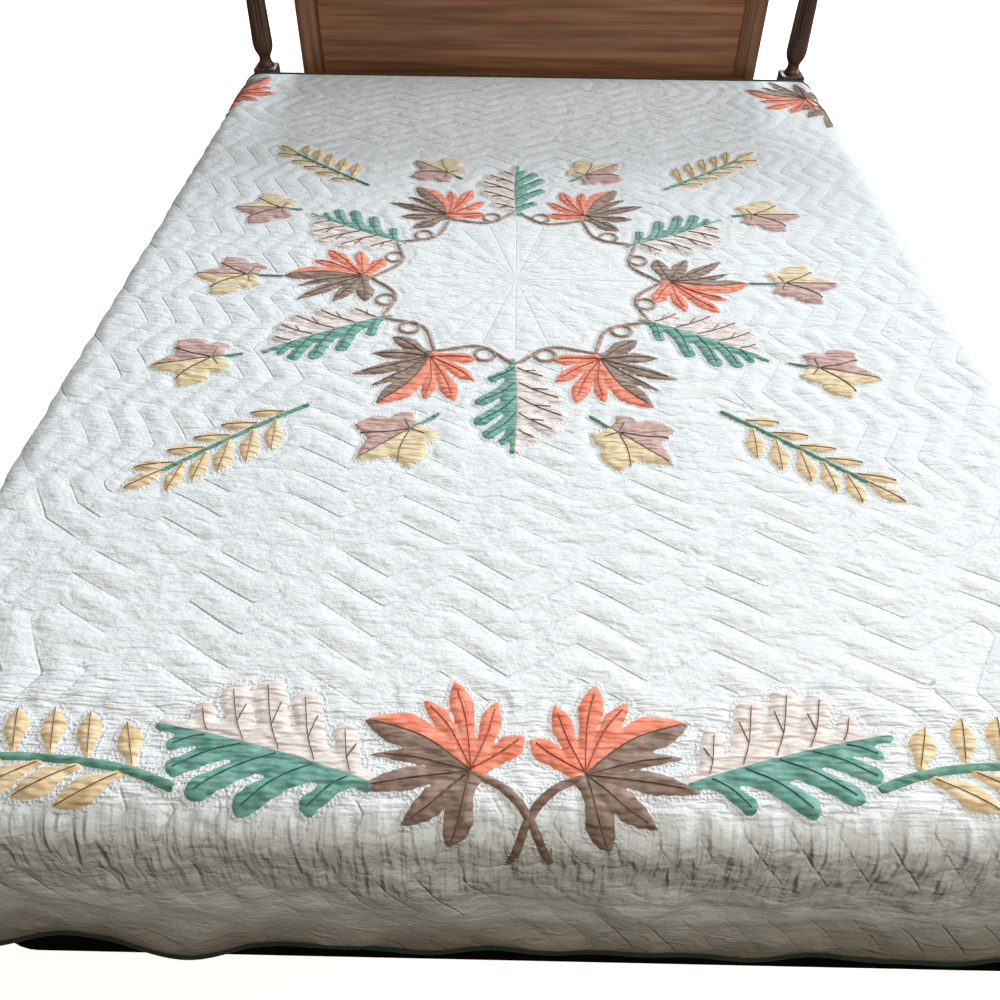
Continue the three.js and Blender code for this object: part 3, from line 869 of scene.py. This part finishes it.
# %% Cut the half leaves
VEIN_DEPTH = 0.005  # all that is left of a puff at a vein, in leaf lengths from a seam
CUT_FROM = (1.62, 0.9)  # cloth for a half leaf, in leaf lengths
STEPS = {"maple_open": 0.017, "maple_close": 0.017, "oak": 0.0125, "oak_open": 0.0125, "tulip": 0.028,
         "leaflet": 0.055, "slim": 0.045}
cut = {}
for kind, step in STEPS.items():
    bm = bmesh.new()
    wide, high = (round(span / step) for span in CUT_FROM)
    bmesh.ops.create_grid(bm, x_segments=wide, y_segments=high, size=0.5)
    stretch = Matrix.Translation((0.27, CUT_FROM[1] / 2, 0)) @ Matrix.Diagonal((*CUT_FROM, 1, 1))
    bmesh.ops.transform(bm, matrix=stretch, verts=bm.verts)
    centre = np.array([polygon.calc_center_median() for polygon in bm.faces])
    outside = leaf_shape(kind, centre[:, 0], centre[:, 1]) > 0
    bmesh.ops.delete(bm, geom=[f for f, gone in zip(bm.faces, outside) if gone], context="FACES")
    rim_verts = [vert for vert in bm.verts if vert.is_boundary and vert.co.y > 1e-6]
    for _ in range(4):
        x, y = np.array([vert.co[:2] for vert in rim_verts]).T
        here = leaf_shape(kind, x, y)
        slope_x = (leaf_shape(kind, x + 1e-3, y) - leaf_shape(kind, x - 1e-3, y)) / 2e-3
        slope_y = (leaf_shape(kind, x, y + 1e-3) - leaf_shape(kind, x, y - 1e-3)) / 2e-3
        pull = np.clip(here / np.maximum(slope_x**2 + slope_y**2, 0.2), -step, step)
        for vert, dx, dy in zip(rim_verts, pull * slope_x, pull * slope_y):
            vert.co.x -= dx
            vert.co.y = max(vert.co.y - dy, 0.0)
    inside = [vert for vert in bm.verts if not vert.is_boundary]
    for _ in range(3):
        bmesh.ops.smooth_vert(bm, verts=inside, factor=0.5, use_axis_x=True, use_axis_y=True)
    bmesh.ops.remove_doubles(bm, verts=bm.verts, dist=step * 0.12)
    x, y = np.array([vert.co[:2] for vert in bm.verts]).T
    depth = -leaf_shape(kind, x, y)
    for line in VEINS[kind]:
        vein = smooth_path(line, 0.01)
        gap = np.hypot(x[:, None] - vein[:, 0], y[:, None] - vein[:, 1]).min(1)
        depth = np.minimum(depth, gap + VEIN_DEPTH)
    for vert, down in zip(bm.verts, depth):
        vert.co.z = down
    cut[kind] = bpy.data.meshes.new("cut_" + kind)
    bm.to_mesh(cut[kind])
    print(kind, len(bm.verts), "points in a half leaf")
    bm.free()

# %% [markdown]
# Patch cloths are small prints and solids that have been washed soft. They share one recipe: a colour
# that fades a little, a weave, and soft puckers with painted shade along their creases. The pink and the
# mauve cloth have a fine print.

# %% Patch cloths
CLOTHS = {
    # main colour, faded colour
    "orange": (tone(250, 130, 100), tone(254, 162, 135)),
    "brown": (tone(134, 110, 97), tone(166, 143, 130)),
    "green": (tone(90, 158, 148), tone(128, 187, 179)),
    "pink": (tone(240, 229, 226), tone(248, 243, 242)),
    "tan": (tone(236, 206, 158), tone(247, 227, 190)),
    "yellow": (tone(234, 212, 164), tone(246, 232, 200)),
    "mauve": (tone(194, 152, 149), tone(218, 186, 181)),
    "stem": (tone(78, 142, 124), tone(112, 168, 152)),
    "vine": (tone(158, 130, 118), tone(188, 164, 152)),
    "twig": (tone(124, 98, 86), tone(156, 130, 117)),
    "brown_thread": (tone(88, 62, 50), tone(116, 86, 70)),
    # painted shade: dark green lines standing for the shaded quilted grooves in the green halves
    "green_thread": (tone(30, 78, 64), tone(50, 100, 84)),
    "rust_thread": (tone(150, 58, 38), tone(174, 76, 52)),
}
paints = {}
for name, (strong, faded) in CLOTHS.items():
    paints[name], shader, spot = material(name + "_cotton", Roughness=0.66, Sheen_Weight=0.2)
    flat_place = spot.node("ShaderNodeUVMap", {"uv_map": "flat"}, {})
    fade = flat_place.flat_noise(55, 55, 4.0, 0.6).smooth(0.32, 0.70)
    colour = fade.between(strong, faded)
    if name == "pink":
        speck = 1 - flat_place.cells(260.0).smooth(0.10, 0.24)
        colour = (speck * 0.4).between(colour, tone(206, 180, 170))
    if name == "mauve":
        speck = 1 - flat_place.cells(300.0).smooth(0.14, 0.30)
        colour = (speck * 0.5).between(colour, tone(226, 200, 192))
    ridge = flat_place.flat_noise(32, 118, 1.0)
    crease = 1 - abs(ridge - 0.5).smooth(0.0, 0.18)
    weave = flat_place.flat_noise(1500, 1500, 0.0) * 0.00012
    # Painted shade: the pucker creases are coloured darker brown.
    colour = (crease * 0.20).between(colour, tone(70, 50, 42))
    dress(shader, spot, colour, None, ridge * 0.0072 + weave)
print(len(paints), "patch cloths")

# %% [markdown]
# The halves are laid flat first, with their rise above the quilt as the third coordinate, and then all
# points of one cloth settle onto the quilt together. Stems and vine are bias strips: narrow grids with
# a rounded back that follow their paths in the same way.

# %% Lay the patches
PATCH_PUFF, PINK_PUFF = 0.0020, 0.0014
SEAM_REACH, SEAM_SINK = 0.0022, 0.0004
RIB_REACH, RIB_SINK = 0.0016, 0.0007
HALF_GAP = 0.0002
STRIP_CROWN = 0.0022


def settle(bm):
    """Moves flat points (u, v, rise) onto the quilt's face and returns where they were."""
    flat = np.array([vert.co for vert in bm.verts])
    u, v = flat[:, 0], flat[:, 1]
    put(bm.verts, face(u, v, quilt_height(u, v, leaf_field(u, v)) + flat[:, 2]))
    return flat


def lay_half(bm, kind, base, tip, side, bow, puff):
    """Adds one flat half leaf, bowed and puffed. side is 1 for the half on the left of its midrib."""
    length, way = aim(base, tip)
    first_vert, first_face = len(bm.verts), len(bm.faces)
    bm.from_mesh(cut[kind])
    bm.verts.ensure_lookup_table()
    bm.faces.ensure_lookup_table()
    made = bm.verts[first_vert:]
    along, out, depth = np.array([vert.co for vert in made]).T * length
    rise = puff * (1 - np.exp(-np.maximum(depth, 0) / SEAM_REACH)) - SEAM_SINK
    rise = rise - RIB_SINK * np.exp(-((out / RIB_REACH) ** 2))
    out = side * (out + HALF_GAP) + length * bowed(along / length, bow)
    u = base[0] + along * way[0] - out * way[1]
    v = base[1] + along * way[1] + out * way[0]
    put(made, np.stack([u, v, rise], -1))
    if side < 0:
        bmesh.ops.reverse_faces(bm, faces=bm.faces[first_face:])


def lay_band(bm, path, half, crown):
    """Adds one flat rounded band along a path."""
    heading = np.gradient(path, axis=0)
    leftward = np.stack([-heading[:, 1], heading[:, 0]], -1)
    leftward /= np.linalg.norm(leftward, axis=1, keepdims=True)

    def place(across, along):
        index = index_of(along, path)
        ends = np.clip(np.minimum(index, len(path) - 1 - index), 0.8, 1)
        swing = 1 - 2 * across
        there = path[index] + leftward[index] * (half * ends * swing)[:, None] * -1
        rise = crown * np.sqrt(np.maximum(1 - swing**2, 0)) - 0.0003
        return np.concatenate([there, rise[:, None]], axis=1)

    grid(bm, 4, len(path) - 1, place)


for cloth in CLOTHS:
    if cloth.endswith("thread"):
        continue
    bm = bmesh.new()
    for base, tip, left, right, bow in leaves:
        for side, (kind, half_cloth) in [(1, left), (-1, right)]:
            if half_cloth == cloth:
                lay_half(bm, kind, base, tip, side, bow, PINK_PUFF if cloth == "pink" else PATCH_PUFF)
    for band, path, half in bands:
        if band == cloth:
            lay_band(bm, path, half, STRIP_CROWN)
    flat = settle(bm)
    piece(cloth + "_patches", bm, paints[cloth], flat)

# %% [markdown]
# The veins are embroidered over the patches in a thread darker than the cloth. On the green halves the
# dark green vein line is painted shade of the quilted groove. Every leaf but the oak leaves has a midrib
# as well, where its two halves meet.

# %% Veins
THIN_VEIN, THICK_VEIN, VEIN_CROWN = 0.0006, 0.0009, 0.0025
THREADS = {"green": "green_thread", "orange": "rust_thread"}
for thread in ["brown_thread", "green_thread", "rust_thread"]:
    bm = bmesh.new()
    for base, tip, left, right, bow in leaves:
        length, way = aim(base, tip)
        for side, (kind, cloth) in [(1, left), (-1, right)]:
            lines = VEINS[kind] if THREADS.get(cloth, "brown_thread") == thread else []
            ribbed = side > 0 and thread == "brown_thread" and not kind.startswith("oak")
            for line in lines + (RIB if ribbed else []):
                path = np.array(line) * (1, side)
                path[:, 1] += bowed(path[:, 0], bow)
                path = smooth_path(path * length, 0.004)
                spots = base + np.outer(path[:, 0], way) + np.outer(path[:, 1], (-way[1], way[0]))
                thin = cloth in ("tan", "pink") or line is RIB[0]
                lay_band(bm, spots, THIN_VEIN if thin else THICK_VEIN, VEIN_CROWN)
    flat = settle(bm)
    piece(thread + "_veins", bm, paints[thread], flat)

# %% [markdown]
# ## Mattress and base
# Under the quilt lies an ordinary sprung mattress in woven ticking, on a base covered in black cloth.
# Both are mostly hidden.

# %% Mattress and base


def softened(name, node, paint, bevel, segments=3, turn=25):
    """A piece with a CAD node's shape and its sharp edges rounded."""
    bm = bmesh.new()
    bm.from_mesh(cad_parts[node].data)
    bmesh.ops.remove_doubles(bm, verts=bm.verts, dist=1e-6)
    bmesh.ops.dissolve_limit(bm, angle_limit=math.radians(1), verts=bm.verts, edges=bm.edges)
    sharp = [edge for edge in bm.edges if edge.calc_face_angle(0) > math.radians(turn)]
    if sharp and bevel:
        bmesh.ops.bevel(bm, geom=sharp, offset=bevel, offset_type="OFFSET", segments=segments, profile=0.5,
                        affect="EDGES", clamp_overlap=True, material=-1)
    made = piece(name, bm, paint)
    made.data.set_sharp_from_angle(angle=math.radians(35))
    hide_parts(node)
    return made


ticking, shader, spot = material("mattress_ticking", Roughness=0.9, Sheen_Weight=0.1)
stripe = (spot.axis(0) * 55.0).to_line().smooth(0.10, 0.16)
ground = stripe.between(tone(205, 200, 188), tone(228, 224, 214))
dress(shader, spot, ground, None, spot.noise(700.0) * 0.0004)
black, shader, spot = material("base_cloth", Roughness=0.92, Specular_IOR_Level=0.05)
ground = spot.noise(40.0, 4.0).between(tone(3, 3, 3), tone(12, 12, 12))
dress(shader, spot, ground, None, spot.noise(800.0) * 0.0005)
mattress = softened("mattress_cover", "mattress", ticking, 0.0)
softened("base_cover", "bed_base", black, 0.0)

# %% [markdown]
# ## Frame
# The rails and feet are plain painted steel, rounded at their edges.

# %% Frame
satin, shader, spot = material("frame_paint", Roughness=0.45)
dress(shader, spot, spot.noise(30.0, 5.0).between(tone(34, 34, 36), tone(52, 52, 55)),
      spot.noise(90.0, 3.0) * 0.2 + 0.36, spot.noise(420.0) * 0.0002)
for node in ["side_rail_left", "side_rail_right", "cross_rail"]:
    softened(node + "_bar", node, satin, 0.003)
for node in ["foot_leg_left", "foot_leg_right"]:
    softened(node + "_foot", node, satin, 0.002, turn=60)

# %% [markdown]
# ## Wood
# The headboard is stained and varnished. Its grain runs along each board, as it is sawn: across the bed
# in the panel and rails, upright in the stiles and posts.

# %% Wood


def wood(name, along, light, dark):
    """Stained wood with its grain along x, y or z."""
    made, shader, spot = material(name, Roughness=0.4, Coat_Weight=0.12, Coat_Roughness=0.25)
    grain = spot.times(*[2.4 if axis == along else 64.0 for axis in "xyz"]).noise(1.0, 4.0, 0.6)
    pore = spot.times(*[6.0 if axis == along else 420.0 for axis in "xyz"]).noise(1.0, 2.0)
    cloud = spot.noise(3.5, 3.0)
    colour = grain.smooth(0.32, 0.68).between(light, dark)
    colour = (pore.smooth(0.52, 0.72) * 0.25).between(colour, dark)
    colour = (cloud.smooth(0.42, 0.75) * 0.35).between(colour, dark)
    dress(shader, spot, colour, grain * 0.25 + 0.30, grain * 0.0006 - pore.smooth(0.55, 0.7) * 0.0003)
    return made


panel_wood = wood("panel_wood", "x", tone(172, 118, 80), tone(120, 79, 53))
stile_wood = wood("stile_wood", "z", tone(150, 103, 71), tone(104, 70, 48))
post_wood = wood("post_wood", "z", tone(104, 72, 55), tone(56, 37, 28))
softened("headboard_panel_board", "headboard_panel", panel_wood, 0.002)
for node in ["headboard_low_rail", "headboard_top_rail"]:
    softened(node + "_board", node, panel_wood, 0.004)
for node in ["stile_left", "stile_right"]:
    softened(node + "_moulding", node, stile_wood, 0.0022, turn=12)

# %% [markdown]
# ## Posts
# Each post is one turned piece on a square block. The shaft between its beads is reeded. The turning is
# a grid wrapped round the post's axis and welded, and the block below it is a bevelled cube.

# %% Posts
TURNING = [
    # radius, height above the block's ledge
    (0.0200, -0.004), (0.0200, 0.004), (0.0140, 0.014), (0.0140, 0.024), (0.0200, 0.034), (0.0240, 0.046),
    (0.0245, 0.060), (0.0230, 0.140), (0.0190, 0.300), (0.0180, 0.312), (0.0250, 0.322), (0.0250, 0.402),
    (0.0160, 0.412), (0.0130, 0.426), (0.0210, 0.444), (0.0250, 0.468), (0.0210, 0.492), (0.0090, 0.512),
    (0.0005, 0.516),
]
FOOT_TOP = 0.042
FOOT = [(0.0005, 0.0), (0.0180, 0.0), (0.0250, FOOT_TOP), (0.0200, FOOT_TOP + 0.005)]
LEDGE = MATTRESS_HIGH.z + 0.008
REEDS, REED_DEPTH = 14, 0.0026


def rounded(profile, passes=2):
    """Cuts a profile's corners, as a turner's gouge leaves them."""
    points = np.array(profile)
    for _ in range(passes):
        low, high = points[:-1] * 0.75 + points[1:] * 0.25, points[:-1] * 0.25 + points[1:] * 0.75
        points = np.concatenate([points[:1], np.stack([low, high], 1).reshape(-1, 2), points[-1:]])
    return points


def turned(bm, profile, axis, lift, reeds=(0, 0)):
    """Adds a closed turned shape on an upright axis, with reeds between two heights."""
    points = rounded(profile)

    def place(around, along):
        index = index_of(along, points)
        radius, height = points[index].T
        swing = around * 2 * np.pi
        reeded = smooth(reeds[0], reeds[0] + 0.012, height) * smooth(reeds[1], reeds[1] - 0.012, height)
        radius = radius - REED_DEPTH * reeded * np.abs(np.sin(swing * REEDS / 2)) ** 6
        return np.stack([axis.x + radius * np.cos(swing), axis.y + radius * np.sin(swing), lift + height], -1)

    made = grid(bm, 112 if reeds[1] else 36, len(points) - 1, place)
    bmesh.ops.remove_doubles(bm, verts=made, dist=1e-6)


for side in ["left", "right"]:
    low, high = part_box("post_" + side)
    axis = (low + high) / 2
    bm = bmesh.new()
    turned(bm, TURNING, axis, LEDGE, (0.075, 0.295))
    turned(bm, FOOT, axis, 0.0)
    block = bmesh.ops.create_cube(bm, size=1.0)["verts"]
    size = (high.x - low.x, high.y - low.y, LEDGE - FOOT_TOP)
    bmesh.ops.scale(bm, verts=block, vec=size)
    bmesh.ops.translate(bm, verts=block, vec=(axis.x, axis.y, FOOT_TOP + size[2] / 2))
    edges = list({edge for vert in block for edge in vert.link_edges})
    bmesh.ops.bevel(bm, geom=edges, offset=0.004, offset_type="OFFSET", segments=3, profile=0.5,
                    affect="EDGES", material=-1)
    bmesh.ops.recalc_face_normals(bm, faces=bm.faces)
    post = piece("post_" + side + "_turned", bm, post_wood)
    post.data.set_sharp_from_angle(angle=math.radians(50))
    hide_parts("post_" + side)

# %% [markdown]
# ## Floor and light
# The floor is plain and pale. Its far rim is raised, so every view ends on it. It glows a little to look
# white, and cloth and varnish don't receive its light, so the shade at the foot stays. Daylight comes from
# a window on the right and from behind the headboard, so the sewing throws small shadows and the foot drop
# lies in the shade, which a ceiling light and a warm lamp in front of the bed fill.

# %% Floor and light
FLOOR_HALF, RIM_RISE = 16.0, 14.0
WHITE = (1.0, 1.0, 1.0, 1.0)
pale, shader, spot = material("floor_paint", Roughness=0.7, Emission_Color=WHITE, Emission_Strength=0.8)
dress(shader, spot, spot.noise(2.0, 3.0).between(tone(244, 244, 244), tone(250, 250, 250)))
bm = bmesh.new()
bmesh.ops.create_grid(bm, x_segments=8, y_segments=8, size=FLOOR_HALF)
bmesh.ops.translate(bm, verts=[vert for vert in bm.verts if vert.is_boundary], vec=(0, 0, RIM_RISE))
floor_mesh = bpy.data.meshes.new("floor")
bm.to_mesh(floor_mesh)
bm.free()
floor_mesh.materials.append(pale)
floor = bpy.data.objects.new("floor", floor_mesh)
bpy.context.scene.collection.objects.link(floor)
floor.visible_diffuse = False
floor.visible_glossy = False


def window(name, at, towards, size, watts, colour):
    """A soft rectangular light."""
    lamp = bpy.data.lights.new(name, "AREA")
    lamp.shape = "RECTANGLE"
    lamp.size, lamp.size_y = size
    lamp.energy = watts
    lamp.color = colour
    made = bpy.data.objects.new(name, lamp)
    made.location = at
    made.rotation_euler = (Vector(towards) - Vector(at)).to_track_quat("-Z", "Y").to_euler()
    bpy.context.scene.collection.objects.link(made)


window("window_light", (5.2, 1.2, 2.6), (0.0, 0.0, 0.5), (1.9, 1.5), 240.0, (0.94, 0.98, 1.0))
window("head_light", (0.5, 8.0, 5.0), (0.0, 0.0, 0.5), (3.2, 2.2), 480.0, (0.95, 0.98, 1.0))
window("ceiling_light", (0.0, -0.5, 3.2), (0.0, -0.5, 0.5), (1.4, 1.4), 20.0, (0.95, 0.98, 1.0))
window("room_light", (0.9, -2.2, 2.8), (0.0, -0.9, 0.4), (0.7, 0.7), 30.0, (1.0, 0.89, 0.72))
world = bpy.data.worlds.new("daylight")
world.use_nodes = True
world.node_tree.nodes["Background"].inputs["Color"].default_value = (1.0, 0.86, 0.64, 1.0)
world.node_tree.nodes["Background"].inputs["Strength"].default_value = 0.09
bpy.context.scene.world = world
bpy.context.scene.view_settings.view_transform = "Standard"
print("lights set")
